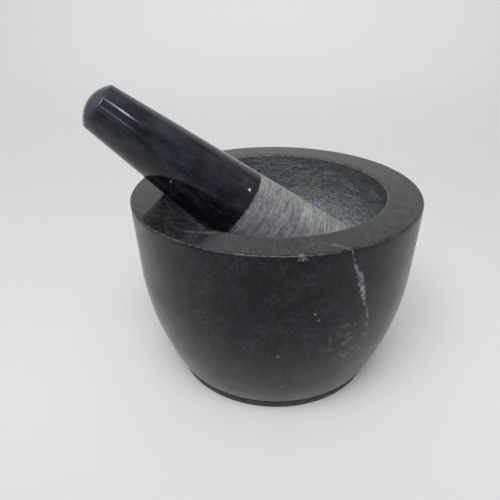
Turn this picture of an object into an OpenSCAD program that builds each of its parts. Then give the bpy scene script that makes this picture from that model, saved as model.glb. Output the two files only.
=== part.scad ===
// Turned stone mortar with its pestle leaning in the bowl.
// Millimetres. The origin is the centre of the mortar's foot, on the table, with +Z up.

/* [Mortar] */
// Outer radius of the mortar at its rim
rim_r = 65; // [45:1:100]
// Height of the mortar above the table
mortar_h = 87; // [80:1:100]
// Width of the flat rim
rim_w = 15.6; // [10:0.2:18]
// Rounding of the rim's outer and inner edges
rim_edge_r = 1; // [0.4:0.1:2]
// How far the upper wall draws in between the rim and the shoulder
wall_draw = 2; // [0:0.5:4]
// Height at which the straight upper wall turns into the curved lower wall
shoulder_z = 52; // [45:1:60]
// Radius of the curved lower wall, seen from the side
belly_r = 127; // [115:1:150]
// Depth of the bowl below the rim
bowl_depth = 64; // [56:1:68]

/* [Foot] */
// Height of the foot
foot_h = 4.5; // [3:0.5:6]
// Radius of the foot
foot_r = 47.5; // [40:0.5:48]
// Height of the shadow groove between the foot and the wall
groove_h = 1; // [0.6:0.1:1.5]
// Depth of the shadow groove
groove_d = 1.5; // [0.5:0.1:3]

/* [Pestle] */
// Radius of the pestle at the shoulder of its top end
grip_r = 10.4; // [8:0.2:13]
// Angle between the pestle's side and its axis
taper = 5.75; // [3:0.25:7]
// Height of the dome on the pestle's top end
top_dome_h = 4.4; // [2:0.2:8]
// Rounding around the edge of the grinding end
grind_edge_r = 9; // [5:0.5:10]
// Angle from the axis at which the grinding face meets its rounded edge
grind_face_angle = 25; // [15:1:40]

/* [Resting place] */
// Slope of the pestle's axis below the horizontal
lean = 39.5; // [36:0.5:44]
// Direction of the grinding end, anticlockwise from +X
lean_azimuth = 8; // [-180:1:180]
// Distance along the axis from the top shoulder to the place that rests on the rim
grip_reach = 43.8; // [35:0.2:55]
// Clearance where the pestle rests on the rim and in the bowl
rest_gap = 0.2; // [0.1:0.05:0.5]

/* [Hidden] */
$fn = 96;

bowl_r = rim_r - rim_w;
shoulder_r = rim_r - wall_draw;
// The bowl's round bottom is half a sphere, centred here.
bowl_centre_z = mortar_h - bowl_depth + bowl_r;
// Neighbouring curves cross at a slight angle, so that no two of them only touch.
cross_angle = 2;
wall_slope = atan2(wall_draw, mortar_h - rim_edge_r - shoulder_z);
belly_slope = wall_slope + cross_angle;
belly_centre = [shoulder_r - belly_r * cos(belly_slope), shoulder_z + belly_r * sin(belly_slope)];

// The upright plane through both axes: x runs towards the grinding end, y is height.
axis_dir = [cos(lean), -sin(lean)];
under_dir = [-sin(lean), -cos(lean)];
side_normal = [-sin(lean + taper), -cos(lean + taper)];
rim_edge_centre = [-(bowl_r + rim_edge_r), mortar_h - rim_edge_r];
rim_touch = rim_edge_centre - side_normal * (rim_edge_r + rest_gap);
reach_r = grip_r + grip_reach * tan(taper);
top_shoulder = rim_touch - under_dir * reach_r - axis_dir * grip_reach;

// The grinding edge is a ring of radius ring_r(s) at a distance s down the axis.  Its lowest
// point meets the bowl where it is bowl_r - grind_edge_r - rest_gap from the bowl's centre.
ring_inset = grip_r - grind_edge_r * cos(2 * cross_angle) / cos(taper);
ring_start = top_shoulder + under_dir * ring_inset - [0, bowl_centre_z];
ring_step = axis_dir + under_dir * tan(taper);
ring_target = bowl_r - grind_edge_r - rest_gap;
half_b = (ring_start * ring_step) / (ring_step * ring_step);
ring_c = (ring_start * ring_start - ring_target * ring_target) / (ring_step * ring_step);
grind_s = -half_b + sqrt(half_b * half_b - ring_c);
grind_ring_r = ring_inset + grind_s * tan(taper);
face_r = grind_edge_r + grind_ring_r / sin(grind_face_angle);
face_overlap = grind_edge_r * (1 - cos(2 * cross_angle));
face_centre_s = grind_s - (face_r - grind_edge_r) * cos(grind_face_angle) - face_overlap;
top_dome_r = (grip_r * grip_r + top_dome_h * top_dome_h) / (2 * top_dome_h);

// The part of a rectangle that lies outside a circle, for rounding off a larger shape.
module outside_circle(centre, radius, from, size) {
    difference() {
        translate(from) square(size);
        translate(centre) circle(r = radius, $fn = 360);
    }
}

// Half outline of the wall: straight above the shoulder, round below it, with a rounded rim.
module wall_outline() {
    edge_z = mortar_h - rim_edge_r;
    belly_top = shoulder_z + belly_r * sin(cross_angle);
    difference() {
        polygon([
            [0, foot_h],
            [rim_r - (edge_z - foot_h) * tan(wall_slope), foot_h],
            [rim_r, edge_z],
            [rim_r - rim_edge_r, mortar_h],
            [0, mortar_h]
        ]);
        outside_circle(belly_centre, belly_r, [0, 0], [rim_r, belly_top]);
    }
    translate([rim_r - rim_edge_r, edge_z]) circle(r = rim_edge_r);
}

// Half outline of the low foot and of the shadow groove above it.
module foot_outline() {
    square([foot_r, foot_h - groove_h]);
    square([foot_r - groove_d, foot_h]);
}

// Half outline of the hollow, with the rim's rounded inner edge.
module bowl_outline() {
    above = 10;
    translate([0, bowl_centre_z]) square([bowl_r, mortar_h - bowl_centre_z + above]);
    intersection() {
        translate([0, bowl_centre_z]) circle(r = bowl_r, $fn = 180);
        translate([0, bowl_centre_z - bowl_r]) square([bowl_r, 2 * bowl_r]);
    }
    translate([0, mortar_h - rim_edge_r]) difference() {
        square([bowl_r + rim_edge_r, rim_edge_r + above]);
        translate([bowl_r + rim_edge_r, 0]) circle(r = rim_edge_r);
    }
}

module mortar() {
    color("#34373d") rotate_extrude() difference() {
        union() {
            wall_outline();
            foot_outline();
        }
        bowl_outline();
    }
}

// What the rounded grinding edge takes off the corner between the side and the face.
module grind_corner() {
    centre = [grind_ring_r, -grind_s];
    side_dir = [cos(taper), sin(taper)];
    face_dir = [sin(grind_face_angle), -cos(grind_face_angle)];
    corner = side_dir + face_dir;
    difference() {
        polygon([
            centre,
            centre + side_dir * grind_edge_r,
            centre + corner * 2 * grind_edge_r,
            centre + face_dir * grind_edge_r
        ]);
        translate(centre) circle(r = grind_edge_r);
    }
}

// Half outline of the pestle, hanging below the shoulder of its top end.
module pestle_outline() {
    below = face_centre_s + face_r + 1;
    above = top_dome_h + 1;
    difference() {
        polygon([
            [0, above],
            [grip_r - above * tan(taper), above],
            [grip_r + below * tan(taper), -below],
            [0, -below]
        ]);
        outside_circle([0, top_dome_h - top_dome_r], top_dome_r, [0, -1], [2 * grip_r, above + 2]);
        outside_circle([0, -face_centre_s], face_r, [0, -below - 1], [face_r, below + 1 - face_centre_s]);
        grind_corner();
    }
}

module pestle() {
    color("#23262b")
        rotate([0, 0, lean_azimuth])
            translate([top_shoulder[0], 0, top_shoulder[1]])
                rotate([0, lean - 90, 0])
                    rotate_extrude() pestle_outline();
}

mortar();
pestle();
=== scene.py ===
"""Turned stone mortar with its pestle leaning in the bowl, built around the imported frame.

Shapes and shader lengths are in millimetres; a mesh becomes metres when it is made. Both pieces are
turned: each is one outline swept round its own axis, then worn by shallow marks, nicks and chips.
An outline is a list of (radius, height) points that runs from the axis out and back to the axis
with the stone on its right.
"""

import math

import bpy
import numpy as np
from mathutils import Matrix, Vector


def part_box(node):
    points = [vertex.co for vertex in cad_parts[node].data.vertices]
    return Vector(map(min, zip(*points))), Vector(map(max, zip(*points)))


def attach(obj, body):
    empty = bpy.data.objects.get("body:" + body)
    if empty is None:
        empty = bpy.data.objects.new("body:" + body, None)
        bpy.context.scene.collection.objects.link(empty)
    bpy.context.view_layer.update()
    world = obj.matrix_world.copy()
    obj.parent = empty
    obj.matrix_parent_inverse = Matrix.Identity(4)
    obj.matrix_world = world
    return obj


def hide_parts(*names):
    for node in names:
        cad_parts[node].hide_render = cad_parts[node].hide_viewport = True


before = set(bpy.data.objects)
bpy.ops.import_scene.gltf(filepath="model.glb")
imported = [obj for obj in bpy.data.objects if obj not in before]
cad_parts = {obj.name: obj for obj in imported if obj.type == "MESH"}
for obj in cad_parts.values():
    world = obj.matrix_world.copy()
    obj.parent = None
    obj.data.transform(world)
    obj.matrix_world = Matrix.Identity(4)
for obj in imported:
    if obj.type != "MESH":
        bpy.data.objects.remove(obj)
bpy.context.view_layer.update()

MM = 0.001
mortar_low, mortar_high = [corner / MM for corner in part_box("mortar")]

# The mortar's dimensions.
RIM_R = mortar_high.x
MORTAR_H = mortar_high.z
RIM_W = 15.6
EDGE_R = 1.0
WALL_DRAW = 2.0
SHOULDER_Z = 52.0
BELLY_R = 127.0
BOWL_DEPTH = 64.0
FOOT_H = 4.5
FOOT_R = 47.5
GROOVE_H = 1.0
GROOVE_D = 1.5
LIP_DEPTH = 0.5  # from where the flat rim ends, over its rounded inner edge, to the ground finish
CHIP_AZIMUTH = -81.4  # where the rim's outer edge is chipped, in degrees from +X

# The pestle's dimensions.
GRIP_R = 10.4
TAPER = math.radians(5.75)
DOME_H = 4.4
DOME_EDGE_R = 1.2
GRIND_EDGE_R = 9.0
GRIND_FACE_ANGLE = math.radians(25)
POLISH_LENGTH = 73.0  # from the top shoulder to where the ground finish begins
PIT_DISTANCE = 68.8  # from the top shoulder to the small pit in the grip
PIT_ANGLE = 46  # of the pit, in degrees round the pestle from its top

# The pestle's lean: slope below the horizontal, and the way its grinding end points.
LEAN = math.radians(39.5)
LEAN_AZIMUTH = math.radians(8)

# Colours of the mortar's stone and of its worn, dust-covered and ground places; the worn edges' colour
# is partly a painted highlight, the dust partly a painted reflection of the floor, and the bowl's band
# a painted shade.
NEAR_BLACK = (0.0033, 0.0032, 0.0050, 1)
MORTAR_TINTS = [
    (0.0045, 0.0060, 0.0100, 1),
    (0.0055, 0.0070, 0.0045, 1),
    (0.0080, 0.0060, 0.0095, 1),
]
PALE_GRAIN = (0.066, 0.067, 0.066, 1)
BROWN_GRAIN = (0.060, 0.038, 0.030, 1)
PALE_SPOT = (0.10, 0.13, 0.12, 1)
CHIP_STONE = (0.19, 0.185, 0.17, 1)
VEIN = (0.28, 0.305, 0.33, 1)
VEIN_TAIL = (0.085, 0.090, 0.097, 1)
FAINT_VEIN = (0.060, 0.072, 0.078, 1)
# Partly rubbed wear, partly a painted highlight along the rounded edges.
WORN_STONE_AND_HIGHLIGHT = (0.19, 0.195, 0.20, 1)
# Partly dust, partly a painted reflection of the bright floor on the lower wall.
DUST_AND_FLOOR_REFLECTION = (0.110, 0.113, 0.120)
FOOT_STONE = (0.055, 0.055, 0.054)
RIM_GREEN = (0.0095, 0.0125, 0.0070, 1)
RIM_VIOLET = (0.0125, 0.0105, 0.0125, 1)
BOWL_HOLLOWS = (0.070, 0.075, 0.092, 1)
BOWL_RIDGES = (0.25, 0.26, 0.28, 1)
BOWL_GREEN = (0.115, 0.145, 0.118, 1)
# Painted shade below the bowl's inner edge, with a brown tint.
BOWL_BAND_SHADE = (0.046, 0.046, 0.036, 1)

# Colours of the pestle's stone.
GRIP_DARK = (0.0066, 0.0067, 0.0100, 1)
GRIP_TINTS = [
    (0.0065, 0.0085, 0.0165, 1),
    (0.0070, 0.0100, 0.0080, 1),
    (0.0090, 0.0068, 0.0140, 1),
]
# Haze colours: blue clouding, with a painted reflection near the top end and on the dome.
GRIP_HAZE_AND_REFLECTION = (0.023, 0.027, 0.040, 1)
DOME_HAZE_AND_REFLECTION = (0.060, 0.064, 0.076, 1)
THREAD = (0.09, 0.10, 0.11, 1)
GRIP_GRAIN = (0.11, 0.12, 0.12, 1)
GRIP_SPOT = (0.55, 0.55, 0.54, 1)
# Ground end colours: the top is painted paler as painted light, the front darker as painted shade.
GROUND_TOP_LIT = (0.300, 0.315, 0.296, 1)
GROUND_FRONT_SHADED = (0.183, 0.180, 0.202, 1)

BOWL_R = RIM_R - RIM_W
BOWL_CENTRE_Z = MORTAR_H - BOWL_DEPTH + BOWL_R
EDGE_Z = MORTAR_H - EDGE_R


# ---------------------------------------------------------------- outlines


def line(start, end, step):
    """Points from start towards end, without end, no more than step apart."""
    count = max(1, math.ceil(math.dist(start, end) / step))
    share = np.arange(count)[:, None] / count
    return np.array(start) + share * (np.array(end) - np.array(start))


def arc(centre, radius, start, end, step):
    """Points on an arc between two angles in degrees, without its end."""
    span = math.radians(end - start)
    count = max(2, math.ceil(abs(span) * radius / step))
    angles = math.radians(start) + span * np.arange(count) / count
    return np.array(centre) + radius * np.stack([np.cos(angles), np.sin(angles)], axis=1)


def on_circle(centre, radius, degrees):
    """The point of a circle at an angle."""
    angle = math.radians(degrees)
    return (centre[0] + radius * math.cos(angle), centre[1] + radius * math.sin(angle))


def angle_between(centre, point):
    """The direction from centre to point, in degrees."""
    return math.degrees(math.atan2(point[1] - centre[1], point[0] - centre[0]))


def fillet_centre(circle_centre, circle_r, line_point, outward, fillet_r, side):
    """Centre of a fillet that touches a circle from inside and a line from its stone side."""
    direction = np.array([-outward[1], outward[0]])
    start = np.array(line_point) - np.array(outward) * fillet_r - np.array(circle_centre)
    half_b = float(start @ direction)
    rest = float(start @ start) - (circle_r - fillet_r) ** 2
    distance = -half_b + side * math.sqrt(half_b * half_b - rest)
    return start + np.array(circle_centre) + direction * distance


def eased(points, passes):
    """The same outline with its slight kinks averaged away. The end points stay."""
    points = points.copy()
    for _ in range(passes):
        points[1:-1] = (points[:-2] + 2 * points[1:-1] + points[2:]) / 4
    return points


def bowl_outline():
    """The hollow, from the bottom of the bowl up to the start of the rim's inner edge."""
    centre = (0, BOWL_CENTRE_Z)
    return np.vstack([
        arc(centre, BOWL_R, -90, 0, step=0.72),
        line((BOWL_R, BOWL_CENTRE_Z), (BOWL_R, EDGE_Z), step=0.72),
    ])


def rim_outline():
    """The rim's rounded inner edge, its flat top and its rounded outer edge."""
    wall_slope = math.degrees(math.atan2(WALL_DRAW, EDGE_Z - SHOULDER_Z))
    return np.vstack([
        arc((BOWL_R + EDGE_R, EDGE_Z), EDGE_R, 180, 90, step=0.24),
        line((BOWL_R + EDGE_R, MORTAR_H), (RIM_R - EDGE_R, MORTAR_H), step=1.1),
        arc((RIM_R - EDGE_R, EDGE_Z), EDGE_R, 90, -wall_slope, step=0.22),
    ])


def wall_outline():
    """The nearly straight upper wall, the round lower wall and the small rounding beneath it."""
    bottom_r = 0.9
    shoulder_r = RIM_R - WALL_DRAW
    kink = math.radians(2)
    slope = math.atan2(WALL_DRAW, EDGE_Z - SHOULDER_Z)
    centre = (
        shoulder_r - BELLY_R * math.cos(slope + kink),
        SHOULDER_Z + BELLY_R * math.sin(slope + kink),
    )
    corner = fillet_centre(centre, BELLY_R, (0, FOOT_H), (0, -1), bottom_r, side=1)
    corner_angle = angle_between(centre, corner)
    upper = line((RIM_R, EDGE_Z), (shoulder_r, SHOULDER_Z), step=1.5)
    lower = arc(centre, BELLY_R, -math.degrees(slope + kink), corner_angle, step=1.5)
    return np.vstack([
        eased(np.vstack([upper, lower]), passes=6)[1:],
        arc(corner, bottom_r, corner_angle, -90, step=0.3),
        [[corner[0], FOOT_H]],
    ])


def foot_outline():
    """The shadow groove, the low foot and the flat underside."""
    soft = 0.3
    round_r = 0.5
    groove_r = FOOT_R - GROOVE_D
    foot_top = FOOT_H - GROOVE_H
    return np.vstack([
        arc((groove_r + soft, FOOT_H - soft), soft, 90, 180, step=0.2),
        arc((groove_r + soft, foot_top + soft), soft, 180, 270, step=0.2),
        arc((FOOT_R - round_r, foot_top - round_r), round_r, 90, 0, step=0.25),
        arc((FOOT_R - round_r, round_r), round_r, 0, -90, step=0.25),
        line((FOOT_R - round_r, 0), (0, 0), step=3.6),
        [[0, 0]],
    ])


def pestle_outline(length):
    """The pestle hanging below its top shoulder: dome, tapering side, and rounded grinding end."""
    side_outward = (math.cos(TAPER), math.sin(TAPER))
    dome_r = (GRIP_R**2 + DOME_H**2) / (2 * DOME_H)
    dome_centre = (0, DOME_H - dome_r)
    top = fillet_centre(dome_centre, dome_r, (GRIP_R, 0), side_outward, DOME_EDGE_R, side=1)

    # The face's circle touches the grinding edge at the face angle.
    reach = GRIP_R + (length - GRIND_EDGE_R) * math.tan(TAPER) - GRIND_EDGE_R / math.cos(TAPER)
    spread = math.sin(GRIND_FACE_ANGLE) + (1 - math.cos(GRIND_FACE_ANGLE)) * math.tan(TAPER)
    face_r = GRIND_EDGE_R + reach / spread
    face_centre = (0, face_r - length)
    end = fillet_centre(face_centre, face_r, (GRIP_R, 0), side_outward, GRIND_EDGE_R, side=-1)

    taper = math.degrees(TAPER)
    top_angle = angle_between(dome_centre, top)
    end_angle = angle_between(face_centre, end)
    return np.vstack([
        arc(dome_centre, dome_r, 90, top_angle, step=0.55),
        arc(top, DOME_EDGE_R, top_angle, taper, step=0.16),
        line(on_circle(top, DOME_EDGE_R, taper), on_circle(end, GRIND_EDGE_R, taper), step=0.55),
        arc(end, GRIND_EDGE_R, taper, end_angle, step=0.6),
        arc(face_centre, face_r, end_angle, -90, step=0.8),
        [[0, -length]],
    ])


# ---------------------------------------------------------------- turned surfaces


def turned_angles(count, focus=None, extra=0.0, width=0.2):
    """Angles round the axis, closer together near the focus angle."""
    fine = np.linspace(-math.pi, math.pi, 7200, endpoint=False)
    density = np.ones_like(fine)
    if focus is not None:
        density += extra * np.exp(-(((fine - focus) / width) ** 2))
    share = np.concatenate([[0], np.cumsum(density)])
    wanted = np.arange(count) * share[-1] / count
    return np.interp(wanted, share, np.append(fine, math.pi))


def ripples(rng, along, around, shortest, longest, most_turns, terms):
    """A smooth random field over the surface, about -2 to 2, made of gentle waves."""
    field = np.zeros((len(along), len(around)))
    for _ in range(terms):
        length = rng.uniform(shortest, longest)
        turns = rng.integers(0, most_turns + 1)
        wave = np.sin(2 * math.pi * (along / length + rng.random()))
        field += np.outer(wave, np.cos(turns * around + 2 * math.pi * rng.random()))
    return field / math.sqrt(terms / 3)


class Turning:
    """An outline swept round the Z axis. Its surface may be moved inwards before it is built."""

    def __init__(self, outline, angles):
        self.outline = outline
        self.angles = angles
        step = np.gradient(outline, axis=0)
        step /= np.linalg.norm(step, axis=1)[:, None]
        self.outward = np.stack([-step[:, 1], step[:, 0]], axis=1)
        self.along = np.concatenate([[0], np.cumsum(np.linalg.norm(np.diff(outline, axis=0), axis=1))])
        self.depth = np.zeros((len(outline), len(angles)))

    def positions(self):
        """The surface's points, moved inwards by depth."""
        radius = self.outline[:, :1] - self.outward[:, :1] * self.depth
        height = self.outline[:, 1:] - self.outward[:, 1:] * self.depth
        return np.stack([radius * np.cos(self.angles), radius * np.sin(self.angles), height], axis=2)

    def chip(self, azimuth, radius, height, size, sink):
        """Scoops a hollow of the given size out of the surface near a point."""
        out = np.array([radius * math.cos(azimuth), radius * math.sin(azimuth), height])
        nearest = np.argmin(np.hypot(self.outline[:, 0] - radius, self.outline[:, 1] - height))
        normal = self.outward[nearest]
        lift = np.array([normal[0] * math.cos(azimuth), normal[0] * math.sin(azimuth), normal[1]])
        ball = (size * size / 4 + sink * sink) / (2 * sink)
        centre = out + lift * (ball - sink)
        reach = ball - np.linalg.norm(self.positions() - centre, axis=2)
        self.depth += np.clip(reach, 0, None)

    def build(self, name, values, placing=Matrix()):
        """Makes the mesh object, moved by placing. values has a number for each outline point."""
        grid = self.positions()[1:-1]
        rows, columns = grid.shape[:2]
        poles = [(0, 0, self.outline[0, 1]), (0, 0, self.outline[-1, 1])]
        points = np.vstack([grid.reshape(-1, 3), poles])
        first = np.arange(rows * columns).reshape(rows, columns)
        second = np.roll(first, -1, axis=1)
        quads = np.stack([first[:-1], first[1:], second[1:], second[:-1]], axis=2).reshape(-1, 4)
        start_pole, end_pole = rows * columns, rows * columns + 1
        faces = quads.tolist()
        faces += [(start_pole, a, b) for a, b in zip(first[0].tolist(), second[0].tolist())]
        faces += [(end_pole, b, a) for a, b in zip(first[-1].tolist(), second[-1].tolist())]
        mesh = bpy.data.meshes.new(name)
        mesh.from_pydata((points * MM).tolist(), [], faces)
        mesh.transform(placing)
        mesh.polygons.foreach_set("use_smooth", [True] * len(faces))
        local = mesh.attributes.new("local", "FLOAT_VECTOR", "POINT")
        local.data.foreach_set("vector", points.astype(np.float32).ravel())
        for label, numbers in values.items():
            spread = np.concatenate([np.repeat(numbers[1:-1], columns), [numbers[0], numbers[-1]]])
            layer = mesh.attributes.new(label, "FLOAT", "POINT")
            layer.data.foreach_set("value", spread.astype(np.float32))
        mesh.update()
        made = bpy.data.objects.new(name, mesh)
        bpy.context.collection.objects.link(made)
        return made

    def paint_from(self, piece, row, slot):
        """Gives the faces after a point of the outline another material slot."""
        columns = len(self.angles)
        slots = np.zeros(len(piece.data.polygons), dtype=np.int32)
        slots[(row - 1) * columns:] = slot
        slots[-2 * columns:-columns] = 0
        piece.data.polygons.foreach_set("material_index", slots)


# ---------------------------------------------------------------- shader helpers


class Nodes:
    """Writes a material's nodes as expressions: each method adds nodes and returns an output."""

    def __init__(self, name):
        self.material = bpy.data.materials.new(name)
        self.material.use_nodes = True
        self.tree = self.material.node_tree
        self.tree.nodes.clear()
        self.point = self.attribute("local", "Vector")
        self.along = self.attribute("along", "Fac")

    def attribute(self, name, output):
        """A value that the turned mesh carries at each point."""
        return self.node("Attribute", {}, output, attribute_name=name)

    def node(self, kind, inputs, output=0, **settings):
        made = self.tree.nodes.new("ShaderNode" + kind)
        for name, value in settings.items():
            setattr(made, name, value)
        for key, value in inputs.items():
            if isinstance(value, bpy.types.NodeSocket):
                self.tree.links.new(value, made.inputs[key])
            else:
                made.inputs[key].default_value = value
        return made.outputs[output] if made.outputs else None

    def math(self, operation, *values):
        return self.node("Math", dict(enumerate(values)), operation=operation)

    def vector(self, operation, *values, scale=None, output="Vector"):
        inputs = dict(enumerate(values))
        if scale is not None:
            inputs["Scale"] = scale
        return self.node("VectorMath", inputs, output, operation=operation)

    def ramp(self, value, low, high, start=0.0, end=1.0):
        """A smooth step from start to end as value goes from low to high."""
        inputs = dict(enumerate([value, low, high, start, end]))
        return self.node("MapRange", inputs, interpolation_type="SMOOTHSTEP")

    def noise(self, period, detail=2.0, seed=0.0, vector=None):
        """Cloudy noise from 0 to 1, mostly near 0.5, whose lumps are about a period across."""
        inputs = {"Vector": vector or self.point, "W": seed, "Scale": 1 / period, "Detail": detail}
        return self.node("TexNoise", inputs, noise_dimensions="4D")

    def blend(self, factor, first, second):
        inputs = {0: factor, 6: first, 7: second}
        return self.node("Mix", inputs, output=2, data_type="RGBA")

    def mix(self, factor, first, second):
        inputs = {0: factor, 2: first, 3: second}
        return self.node("Mix", inputs, data_type="FLOAT")

    def distance_to(self, centre):
        return self.vector("DISTANCE", self.point, centre, output="Value")

    def grains(self, spacing, size, share, seed=0.0):
        """1 inside small scattered grains and 0 between them."""
        inputs = {"Vector": self.point, "W": seed, "Scale": 1 / spacing}
        cells = self.node("TexVoronoi", inputs, "Distance", voronoi_dimensions="4D")
        picked = self.node("SeparateColor", {0: cells.node.outputs["Color"]})
        inside = self.ramp(cells, size / spacing, 0.5 * size / spacing)
        return self.math("MULTIPLY", inside, self.math("GREATER_THAN", picked, 1 - share))

    def turning_marks(self, radius, period, length, tilt=0.0, detail=3.0, seed=0.0):
        """Fine marks that run round the axis. Each fades in and out over about its length."""
        flat = self.vector("MULTIPLY", self.point, (1, 1, 0))
        around = self.vector("SCALE", self.vector("NORMALIZE", flat), scale=radius / length)
        across = self.node("SeparateXYZ", {0: around})
        level = self.math("ADD", self.along, self.math("MULTIPLY", across, tilt * length))
        level = self.math("DIVIDE", level, period)
        offset = self.node("CombineXYZ", {"Z": level})
        return self.noise(1.0, detail, seed, self.vector("ADD", around, offset))

    def surface(self, colour, roughness, height, ior, sheen=0.0):
        """The finished shader. height is in millimetres and becomes the bump."""
        bump = self.node("Bump", {"Height": height, "Distance": MM, "Strength": 1.0}, "Normal")
        inputs = {"Base Color": colour, "Roughness": roughness, "IOR": ior, "Normal": bump}
        inputs["Sheen Weight"] = sheen
        shader = self.node("BsdfPrincipled", inputs)
        self.node("OutputMaterial", {"Surface": shader})
        return self.material


# ---------------------------------------------------------------- stone


def mottled(n, dark, tints, strength, flecks, seed):
    """Dark stone with patches of each tint, cloudy mottling and paler flecks.

    strength and flecks are how much the mottling and the flecks change its brightness.
    """
    colour = dark
    for index, tint in enumerate(tints):
        patch = n.noise(11, 3.0, seed + 3.1 * index)
        colour = n.blend(n.ramp(patch, 0.47, 0.62), colour, tint)
    clouds = n.ramp(n.noise(6, 5.0, seed + 20), 0.35, 0.7, 1 - strength, 1 + strength)
    grain = n.ramp(n.noise(1.3, 4.0, seed + 30), 0.35, 0.68, 0.7, 1.0 + flecks)
    return n.vector("SCALE", colour, scale=n.math("MULTIPLY", clouds, grain))


def speckled(n, colour, light, spacing, size, share, seed):
    """Adds scattered pale grains."""
    return n.blend(n.grains(spacing, size, share, seed), colour, light)


def inclusions(n, spots):
    """1 on each of a few larger pale spots. Each spot is a place and a size."""
    total = 0.0
    shift = ragged(n, 7.0, 1.1, 3.0)
    for place, size in spots:
        distance = n.math("ADD", n.distance_to(place), n.math("MULTIPLY", shift, size))
        total = n.math("MAXIMUM", n.ramp(distance, 0.6 * size, 0.25 * size), total)
    return total


def on_wall(azimuth, height):
    """The place on the mortar's outer wall at an azimuth in degrees and a height."""
    below = mortar_points[mortar_points[:, 0] > BOWL_R + 2 * EDGE_R]
    radius = np.interp(height, below[::-1, 1], below[::-1, 0])
    angle = math.radians(azimuth)
    return (radius * math.cos(angle), radius * math.sin(angle), height)


def on_pestle(distance, angle):
    """The place on the pestle's side: distance below the shoulder, angle in degrees from its top."""
    radius = GRIP_R + distance * math.tan(TAPER)
    angle = math.radians(-angle)
    return (radius * math.cos(angle), radius * math.sin(angle), -distance)


def ragged(n, seed, period, amount):
    """A small random shift of up to about half the amount either way."""
    return n.math("MULTIPLY", n.math("SUBTRACT", n.noise(period, 3.0, seed), 0.5), amount)


def streak(n, sheet, offset, centre, near, far, width, seed):
    """A pale streak where a thin crooked sheet through the stone meets the surface.

    sheet is the direction across the sheet, and offset moves it against that direction.
    It is widest and brightest within the near distance of its centre, and gone at the far one.
    """
    place = n.vector("DOT_PRODUCT", n.point, sheet, output="Value")
    crook = n.math("ADD", ragged(n, seed, 14, 6.0), ragged(n, seed + 1, 2.2, 2.4))
    gap = n.math("ABSOLUTE", n.math("ADD", n.math("ADD", place, offset), crook))
    away = n.distance_to(centre)
    line_width = n.ramp(away, near, 3 * near, width, 0.33 * width)
    line_shape = n.ramp(n.math("DIVIDE", gap, line_width), 1.0, 0.2)
    strength = n.ramp(away, near, 3 * near, 1.0, 0.6)
    fading = n.ramp(away, 0.4 * far, far, 1.0, 0.0)
    broken = n.ramp(n.noise(2.2, 3.0, seed + 2), 0.41, 0.58, 0.2, 1.0)
    shape = n.math("MULTIPLY", line_shape, broken)
    return n.math("MULTIPLY", shape, n.math("MULTIPLY", strength, fading))


def vein_cloud(n):
    """Faint broken patches where the vein thins out lower down the wall."""
    reach = n.ramp(n.distance_to(on_wall(-58.5, 42)), 18, 5)
    patches = n.ramp(n.noise(2.6, 5.0, 4.0), 0.52, 0.64)
    return n.math("MULTIPLY", reach, patches)


def mortar_stone(n):
    """The mortar's near-black stone with its grains, pale spots, chip and vein."""
    stone = mottled(n, NEAR_BLACK, MORTAR_TINTS, strength=0.45, flecks=2.4, seed=5.0)
    stone = speckled(n, stone, PALE_GRAIN, spacing=3.2, size=0.36, share=0.3, seed=1.0)
    stone = speckled(n, stone, BROWN_GRAIN, spacing=7.0, size=0.6, share=0.2, seed=2.0)
    spots = [
        (on_wall(-75.8, 60.7), 1.3),
        (on_wall(-74.3, 57.6), 0.9),
        (on_wall(-88.1, 40.1), 1.1),
        (on_wall(-86.0, 19.2), 1.0),
    ]
    stone = n.blend(inclusions(n, spots), stone, PALE_SPOT)
    chip = inclusions(n, [(on_wall(CHIP_AZIMUTH, MORTAR_H - 1.2), 2.6)])
    stone = n.blend(chip, stone, CHIP_STONE)
    stone = n.blend(vein_cloud(n), stone, VEIN_TAIL)

    brightest = on_wall(-61.4, 68)
    vein = streak(n, (0.416, 0.854, 0.313), 11.4, brightest, near=4, far=32, width=1.7, seed=1.0)
    stone = n.blend(vein, stone, VEIN)
    brightest = (-27, -47.5, MORTAR_H)
    vein = streak(n, (0.118, 0.993, 0.0), 49.5, brightest, near=4, far=13, width=1.7, seed=31.0)
    return n.blend(vein, stone, FAINT_VEIN)


def worn_and_highlit_edges(n, stone, amount):
    """Stone whose turned edges are painted paler, by an amount from 0 to 1: partly rubbed wear, partly
    a painted highlight along the rounded edges.
    """
    at_edge = n.ramp(n.attribute("edge", "Fac"), 0.7, 0.1)
    worn_and_highlit = n.math("MULTIPLY", at_edge, n.ramp(n.noise(1.6, 3.0, 9.0), 0.36, 0.6))
    return n.blend(n.math("MULTIPLY", worn_and_highlit, amount), stone, WORN_STONE_AND_HIGHLIGHT)


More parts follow.
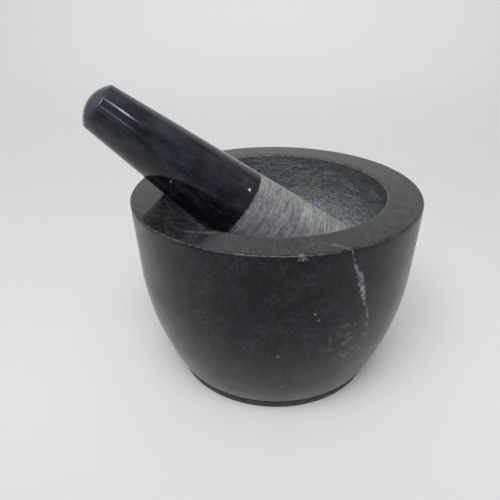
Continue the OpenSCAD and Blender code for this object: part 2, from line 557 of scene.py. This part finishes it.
def wall_material():
    """Honed outer wall, paler near its bottom edge from dust and a painted reflection of the bright
    floor, with a paler and rougher foot.
    """
    n = Nodes("mortar_honed_wall")
    stone = worn_and_highlit_edges(n, mortar_stone(n), 0.3)
    height = n.node("SeparateXYZ", {0: n.point}, "Z")
    clouded = n.ramp(n.noise(1.5, 3.0, 18.0), 0.3, 0.7, 0.6, 1.4)
    uneven_height = n.math("ADD", height, ragged(n, 19.0, 8.0, 8.0))
    # Paler towards the bottom edge: partly dust, partly a painted reflection of the bright floor.
    dust_and_reflection_share = n.math("MULTIPLY", n.ramp(uneven_height, 50.0, 12.0), 0.05)
    dust_and_reflection_share = n.math("MAXIMUM", dust_and_reflection_share, n.ramp(uneven_height, 15.0, 3.0, 0.0, 0.95))
    dust_and_reflection = n.vector("SCALE", DUST_AND_FLOOR_REFLECTION, scale=clouded)
    stone = n.blend(dust_and_reflection_share, stone, dust_and_reflection)
    is_foot = n.ramp(height, FOOT_H + 0.3, FOOT_H - 0.2)
    foot = n.vector("SCALE", FOOT_STONE, scale=clouded)
    colour = n.blend(is_foot, stone, foot)
    honed = n.ramp(n.noise(9, 4.0, 10.0), 0.35, 0.65, 0.30, 0.38)
    roughness = n.mix(is_foot, honed, 0.6)
    grain = n.math("MULTIPLY", n.noise(0.6, 2.0, 11.0), 0.005)
    return n.surface(colour, roughness, grain, ior=1.235, sheen=0.20)


def rim_and_bowl_material():
    """Polished rim, and a ground bowl whose finish begins on the rim's rounded inner edge."""
    n = Nodes("mortar_rim_and_bowl")
    cloudy = n.ramp(n.noise(7, 4.0, 23.0), 0.42, 0.58)
    cloudy = n.blend(cloudy, RIM_GREEN, RIM_VIOLET)
    sparse = n.ramp(n.noise(2.0, 4.0, 24.0), 0.36, 0.66, 0.3, 1.9)
    stone = n.vector("ADD", mortar_stone(n), n.vector("SCALE", cloudy, scale=sparse))

    marks = n.turning_marks(BOWL_R, period=0.34, length=9, seed=3.0)
    scratches = n.turning_marks(BOWL_R, period=0.32, length=5, tilt=0.5, seed=4.0)
    lines = n.math("ADD", n.math("MULTIPLY", marks, 1.1), n.math("MULTIPLY", scratches, 0.9))
    tone = n.ramp(n.noise(1.4, 5.0, 8.0), 0.35, 0.65, 0.7, 1.3)
    ground = n.blend(n.ramp(lines, 0.8, 1.24), BOWL_HOLLOWS, BOWL_RIDGES)
    green = n.ramp(n.noise(9, 3.0, 22.0), 0.45, 0.62, 0.0, 0.5)
    ground = n.blend(green, ground, BOWL_GREEN)
    deeper = n.ramp(n.node("SeparateXYZ", {0: n.point}, "Z"), 80.0, 50.0, 0.84, 1.7)
    ground = n.vector("SCALE", ground, scale=n.math("MULTIPLY", tone, deeper))

    # A darker, browner band is painted below the inner edge, mostly on the +X side: painted shade
    # under the rim's edge, with a brown tint.
    side = n.node("SeparateXYZ", {0: n.point}, "X")
    band = n.ramp(side, -0.3 * BOWL_R, 0.9 * BOWL_R, 2.5, 8.0)
    below_edge = n.math("ADD", n.along, ragged(n, 6.0, 6.0, 7.0))
    painted_shade_band = n.ramp(n.math("DIVIDE", below_edge, band), 1.3, 0.5, 0.0, 0.52)
    painted_shade_band = n.math("MULTIPLY", painted_shade_band, n.ramp(side, -0.5 * BOWL_R, 0.5 * BOWL_R, 0.3, 1.0))
    ground = n.blend(painted_shade_band, ground, BOWL_BAND_SHADE)

    uneven_along = n.math("ADD", n.along, ragged(n, 7.0, 2.5, 0.9))
    is_ground = n.ramp(uneven_along, LIP_DEPTH, LIP_DEPTH + 0.5)
    # More of this paleness on the bowl side of the inner edge: a painted highlight along that edge,
    # with some wear.
    wear = n.ramp(n.along, -2.0, 0.0, 0.45, 0.85)
    colour = worn_and_highlit_edges(n, n.blend(is_ground, stone, ground), wear)
    polish = n.ramp(n.noise(1.4, 5.0, 10.0), 0.35, 0.65, 0.09, 0.20)
    roughness = n.mix(is_ground, polish, 0.72)
    grain = n.math("MULTIPLY", n.noise(0.9, 3.0, 11.0), 0.006)
    cut = n.math("MULTIPLY", lines, 0.07)
    return n.surface(colour, roughness, n.mix(is_ground, grain, cut), ior=1.39)


def pestle_material():
    """Polished grip with blue and green clouding, painted paler near the top as a painted reflection,
    and a pale ground end with fine ring marks and painted shade on its front side.
    """
    n = Nodes("pestle_stone")
    stone = mottled(n, GRIP_DARK, GRIP_TINTS, strength=0.5, flecks=0.6, seed=40.0)
    # The haze is painted thicker near the top end and thickest on the dome: a painted reflection of
    # the bright surroundings, over the stone's clouding.
    at_dome = n.ramp(n.along, 3.0, -4.0)
    upper = n.ramp(n.along, 34.0, 0.0, 0.0, 0.09)
    painted_reflection_near_top = n.math("ADD", upper, n.math("MULTIPLY", at_dome, 0.2))
    drawn_out = n.vector("MULTIPLY", n.point, (1, 1, 0.5))
    haze_and_reflection = n.ramp(n.math("ADD", n.noise(5, 6.0, 44.0, drawn_out), painted_reflection_near_top), 0.44, 0.68)
    stone = n.blend(haze_and_reflection, stone, n.blend(at_dome, GRIP_HAZE_AND_REFLECTION, DOME_HAZE_AND_REFLECTION))
    threads = n.ramp(n.math("ABSOLUTE", ragged(n, 45.0, 9.0, 1.0)), 0.012, 0.002)
    threads = n.math("MULTIPLY", threads, n.ramp(n.noise(6, 2.0, 46.0), 0.5, 0.6))
    stone = n.blend(n.math("MULTIPLY", threads, 0.2), stone, THREAD)
    stone = speckled(n, stone, GRIP_GRAIN, spacing=4.0, size=0.35, share=0.2, seed=5.0)
    spots = [(on_pestle(PIT_DISTANCE, PIT_ANGLE), 1.3), (on_pestle(40, 109), 0.9)]
    stone = n.blend(inclusions(n, spots), stone, GRIP_SPOT)

    marks = n.turning_marks(GRIP_R * 1.8, period=0.38, length=16, seed=12.0)
    scratches = n.turning_marks(GRIP_R * 1.8, period=0.34, length=7, tilt=0.08, seed=13.0)
    lines = n.math("ADD", marks, scratches)
    # The side that faces the front is painted darker and more violet than the top and the back:
    # painted shade, as if the light fell from above, with a violet tint.
    front = n.math("MULTIPLY", n.node("SeparateXYZ", {0: n.point}, "Y"), -1.0 / GRIP_R)
    painted_shade = n.ramp(n.math("ADD", front, ragged(n, 14.0, 9.0, 3.0)), 0.2, 1.9)
    ground = n.blend(painted_shade, GROUND_TOP_LIT, GROUND_FRONT_SHADED)
    mottle = n.ramp(n.noise(1.8, 4.0, 20.0), 0.35, 0.65, 0.82, 1.18)
    brightness = n.math("MULTIPLY", n.ramp(lines, 0.8, 1.22, 0.62, 1.45), mottle)
    ground = n.vector("SCALE", ground, scale=brightness)

    uneven_along = n.math("ADD", n.along, ragged(n, 15.0, 1.6, 2.2))
    is_ground = n.ramp(uneven_along, POLISH_LENGTH - 0.7, POLISH_LENGTH + 0.7)
    colour = n.blend(is_ground, stone, ground)
    polish = n.ramp(n.noise(8, 4.0, 16.0), 0.35, 0.65, 0.07, 0.12)
    roughness = n.mix(is_ground, polish, 0.68)
    grain = n.math("MULTIPLY", n.noise(1.5, 2.0, 17.0), 0.001)
    cut = n.math("MULTIPLY", lines, 0.04)
    return n.surface(colour, roughness, n.mix(is_ground, grain, cut), ior=1.48)


# ---------------------------------------------------------------- the two pieces


def edge_distances(outline, edges):
    """Distance of each point of an outline from the nearest of the given edges."""
    gaps = np.linalg.norm(outline[:, None, :] - np.array(edges)[None, :, :], axis=2)
    return gaps.min(axis=1)


def scatter_nicks(turning, rng, count, radius, height):
    """Tiny nicks along an edge that runs round the axis."""
    for _ in range(count):
        azimuth = rng.uniform(-math.pi, math.pi)
        size = rng.uniform(0.9, 1.8)
        turning.chip(azimuth, radius, height, size, sink=0.12 * size)


def make_mortar(outline):
    rng = np.random.default_rng(11)
    chip_azimuth = math.radians(CHIP_AZIMUTH)
    turning = Turning(outline, turned_angles(400, focus=chip_azimuth, extra=3.0, width=0.1))
    lip = BOWL_R + EDGE_R * (1 - math.sqrt(0.5))
    brow = RIM_R - EDGE_R * (1 - math.sqrt(0.5))
    edge_height = MORTAR_H - EDGE_R * (1 - math.sqrt(0.5))
    lip_index = int(np.argmin(np.hypot(outline[:, 0] - BOWL_R, outline[:, 1] - EDGE_Z)))
    rim_start = turning.along[lip_index] + EDGE_R * math.pi / 2
    along = np.where(turning.along < rim_start - 0.01, rim_start - turning.along, -5.0)

    central = np.clip(outline[:, :1] / 10, 0, 1)
    ground = np.clip((along - LIP_DEPTH) / 1.0, 0, 1)[:, None]
    slow = ripples(rng, turning.along, turning.angles, 18, 60, 4, 12)
    cuts = ripples(rng, turning.along, turning.angles, 1.9, 5.5, 4, 36)
    wear = ripples(rng, turning.along, turning.angles, 6, 16, 6, 20)
    turning.depth += 0.03 * np.clip(slow + 2, 0, None) * central
    turning.depth += ground * central * np.clip(0.018 * (cuts + 2.5) + 0.03 * (wear + 2), 0, None)
    turning.chip(chip_azimuth, brow, edge_height - 0.6, size=3.4, sink=0.5)
    turning.chip(chip_azimuth + 0.018, brow, edge_height - 1.8, size=2.2, sink=0.25)
    scatter_nicks(turning, rng, 22, brow, edge_height)
    scatter_nicks(turning, rng, 18, lip, edge_height)

    edges = [(lip, edge_height), (brow, edge_height), (FOOT_R, FOOT_H - GROOVE_H)]
    piece = turning.build("mortar_turned", {"along": along, "edge": edge_distances(outline, edges)})
    piece.data.materials.append(rim_and_bowl_material())
    piece.data.materials.append(wall_material())
    wall_start = len(bowl_outline()) + len(rim_outline()) - 4
    turning.paint_from(piece, wall_start, slot=1)
    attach(piece, "mortar")
    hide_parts("mortar")


def pestle_placing():
    """Where the top shoulder's centre is, and the pestle's length below it, from the frame."""
    axis = Vector((math.cos(LEAN), 0, -math.sin(LEAN)))
    top_side = Vector((math.sin(LEAN), 0, math.cos(LEAN)))
    turn = Matrix.Rotation(LEAN_AZIMUTH, 3, "Z")
    directions = [turn @ axis, turn @ top_side, turn @ Vector((0, -1, 0))]
    corners = np.array([v.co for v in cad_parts["pestle"].data.vertices]) / MM
    spans = corners @ np.array(directions).T
    low, high = spans.min(axis=0), spans.max(axis=0)
    place = [low[0] + DOME_H, (low[1] + high[1]) / 2, (low[2] + high[2]) / 2]
    shoulder = sum((d * float(p) for d, p in zip(directions, place)), Vector())
    return shoulder, float(high[0] - low[0]) - DOME_H


def make_pestle():
    rng = np.random.default_rng(23)
    shoulder, length = pestle_placing()
    outline = pestle_outline(length)
    turning = Turning(outline, turned_angles(288))
    dome_arc = turning.along[int(np.argmin(np.abs(outline[:, 1])))]
    along = turning.along - dome_arc

    central = np.clip(outline[:, :1] / 6, 0, 1)
    ground = np.clip((along - POLISH_LENGTH) / 1.0, 0, 1)[:, None]
    slow = ripples(rng, turning.along, turning.angles, 25, 60, 3, 10)
    cuts = ripples(rng, turning.along, turning.angles, 1.6, 4.5, 4, 36)
    turning.depth += 0.025 * np.clip(slow + 2, 0, None) * central
    turning.depth += ground * central * 0.012 * np.clip(cuts + 2.5, 0, None)
    pit_r = GRIP_R + PIT_DISTANCE * math.tan(TAPER)
    turning.chip(math.radians(-PIT_ANGLE), pit_r, -PIT_DISTANCE, size=1.8, sink=0.2)

    lean = Matrix.Rotation(LEAN_AZIMUTH, 4, "Z") @ Matrix.Rotation(LEAN - math.pi / 2, 4, "Y")
    placing = Matrix.Translation(shoulder * MM) @ lean
    piece = turning.build("pestle_turned", {"along": along}, placing)
    piece.data.materials.append(pestle_material())
    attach(piece, "pestle")
    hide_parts("pestle")


# ---------------------------------------------------------------- stage, light and camera


def stage_loop(offset, height):
    """A closed loop of points round the stage: a rectangle grown by offset, with round corners."""
    corner_r, steps = 100, 8
    half_width, front, back = 3000, 3000, 620
    corners = [(half_width, back), (-half_width, back), (-half_width, -front), (half_width, -front)]
    points = []
    for quarter, (x, y) in enumerate(corners):
        centre = (x - math.copysign(corner_r, x), y - math.copysign(corner_r, y))
        for step in range(steps + 1):
            degrees = 90 * (quarter + step / steps)
            points.append((*on_circle(centre, corner_r + offset, degrees), height))
    return points


def make_stage():
    """A pale floor that curves up into walls on every side.

    It has painted shade in front of the part, which mirrors it, is a little paler again further off,
    and has painted light on a paler patch round the part.
    """
    turn_r, top = 500, 1900
    turn = arc((0, turn_r), turn_r, -90, 0, step=40)
    outline = [*turn, (turn_r, turn_r), (turn_r, top)]
    loops = [stage_loop(offset, height) for offset, height in outline]
    around = len(loops[0])
    points = [tuple(value * MM for value in point) for loop in loops for point in loop]
    faces = [list(range(around))]
    for row in range(len(loops) - 1):
        for i in range(around):
            j = (i + 1) % around
            low, high = row * around, (row + 1) * around
            faces.append([low + i, high + i, high + j, low + j])
    mesh = bpy.data.meshes.new("floor_and_backdrop")
    mesh.from_pydata(points, [], faces)
    mesh.polygons.foreach_set("use_smooth", [True] * len(faces))
    stage = bpy.data.objects.new("floor_and_backdrop", mesh)
    bpy.context.collection.objects.link(stage)
    n = Nodes("pale_paper")
    n.point = n.vector("SCALE", n.node("TexCoord", {}, "Object"), scale=1 / MM)
    forward = n.node("SeparateXYZ", {0: n.point}, "Y")
    # Painted shade: the floor in front of the part is painted greyer, as if shaded from that side.
    painted_shade_greyest, painted_shade_far_tone = 0.52, 0.78
    near = n.math("ADD", forward, ragged(n, 60.0, 90, 30.0))
    near = n.ramp(near, -360.0, -20.0, painted_shade_greyest, 1.0)
    tone = n.math("MAXIMUM", near, n.ramp(forward, -600.0, -1200.0, 0.0, painted_shade_far_tone))
    # Painted light: the paper close round the part is painted paler, against the part's own shadow.
    painted_light_round_part = n.ramp(n.vector("LENGTH", n.point, output="Value"), 220.0, 60.0, 0.0, 1.0)
    paper, painted_light_paper = (0.83, 0.83, 0.83, 1), (0.885, 0.885, 0.885, 1)
    base = n.blend(painted_light_round_part, paper, painted_light_paper)
    colour = n.vector("SCALE", base, scale=tone)
    height = n.math("MULTIPLY", n.noise(0.7, 2.0, 61.0), 0.01)
    mesh.materials.append(n.surface(colour, 0.8, height, ior=1.45))


def make_sky():
    """Even pale light from all round, weaker from the low front side."""
    world = bpy.data.worlds.new("soft_room")
    bpy.context.scene.world = world
    world.use_nodes = True
    tree = world.node_tree
    tree.nodes.clear()
    front = Vector((0, -1, 0.35)).normalized()
    where = tree.nodes.new("ShaderNodeTexCoord")
    facing = tree.nodes.new("ShaderNodeVectorMath")
    facing.operation = "DOT_PRODUCT"
    facing.inputs[1].default_value = front
    level = tree.nodes.new("ShaderNodeMapRange")
    level.interpolation_type = "SMOOTHSTEP"
    # From how far towards the front the light fades, and its strength behind and in front.
    for index, value in enumerate([0.35, 0.9, 0.62, 0.20], start=1):
        level.inputs[index].default_value = value
    light = tree.nodes.new("ShaderNodeBackground")
    out = tree.nodes.new("ShaderNodeOutputWorld")
    tree.links.new(where.outputs["Generated"], facing.inputs[0])
    tree.links.new(facing.outputs["Value"], level.inputs[0])
    tree.links.new(level.outputs[0], light.inputs["Strength"])
    tree.links.new(light.outputs[0], out.inputs["Surface"])


def area_light(name, place, aim, size, power, long_side=None, spread=180):
    """A rectangular light at a place, facing aim. long_side is the direction of its length."""
    data = bpy.data.lights.new(name, "AREA")
    data.spread = math.radians(spread)
    data.shape = "RECTANGLE"
    data.size, data.size_y = size[0] * MM, size[1] * MM
    data.energy = power
    light = bpy.data.objects.new(name, data)
    bpy.context.collection.objects.link(light)
    back = (place - aim).normalized()
    up = (long_side or Vector((0, 1, 0))).normalized()
    right = up.cross(back).normalized()
    turn = Matrix((right, back.cross(right), back)).transposed()
    light.matrix_world = Matrix.Translation(place * MM) @ turn.to_4x4()


def strip_light(name, first, last, width, distance, power):
    """A long narrow light that a polished grip mirrors as a line, between two directions."""
    grip_centre = Vector((-62, -9, 117))
    start = grip_centre + Vector(first).normalized() * distance
    end = grip_centre + Vector(last).normalized() * distance
    length = (start - end).length
    area_light(name, (start + end) / 2, grip_centre, (width, length), power, start - end)


def make_lights():
    """A soft key light, a wash on the backdrop, and the two lines that the grip mirrors."""
    target = Vector((0, 0, 40))
    key_side = Vector((-0.12, -0.52, 0.84)).normalized()
    key_distance, strip_distance = 1300, 1100
    area_light("soft_key", target + key_side * key_distance, target, (950, 850), power=12.2)
    wash_from, wash_to = Vector((0, 500, 1500)), Vector((0, 1080, 330))
    area_light("backdrop_wash", wash_from, wash_to, (1600, 400), power=1.95, spread=80)
    first, last = (0.466, -0.40, 0.785), (0.469, -0.51, 0.722)
    strip_light("window_strip", first, last, 44, strip_distance, power=0.30)
    first, last = (0.20, -0.875, 0.44), (0.225, -0.913, 0.341)
    strip_light("lamp_strip", first, last, 28, strip_distance, power=0.07)


def make_camera():
    """A camera about 285 mm from the middle of the foot, looking down on the rim."""
    data = bpy.data.cameras.new("camera")
    data.lens = 38.05
    data.sensor_width = 36
    data.clip_start = 0.01
    camera = bpy.data.objects.new("camera", data)
    bpy.context.collection.objects.link(camera)
    camera.location = Vector((0, -225.7, 174.1)) * MM
    camera.rotation_euler = [math.radians(angle) for angle in (62.22, 0.48, 2.76)]
    bpy.context.scene.camera = camera


make_camera()
make_sky()
make_lights()
make_stage()
mortar_points = np.vstack([bowl_outline(), rim_outline(), wall_outline(), foot_outline()])
make_mortar(mortar_points)
make_pestle()

bpy.context.scene.view_settings.view_transform = "Standard"
bpy.context.view_layer.update()
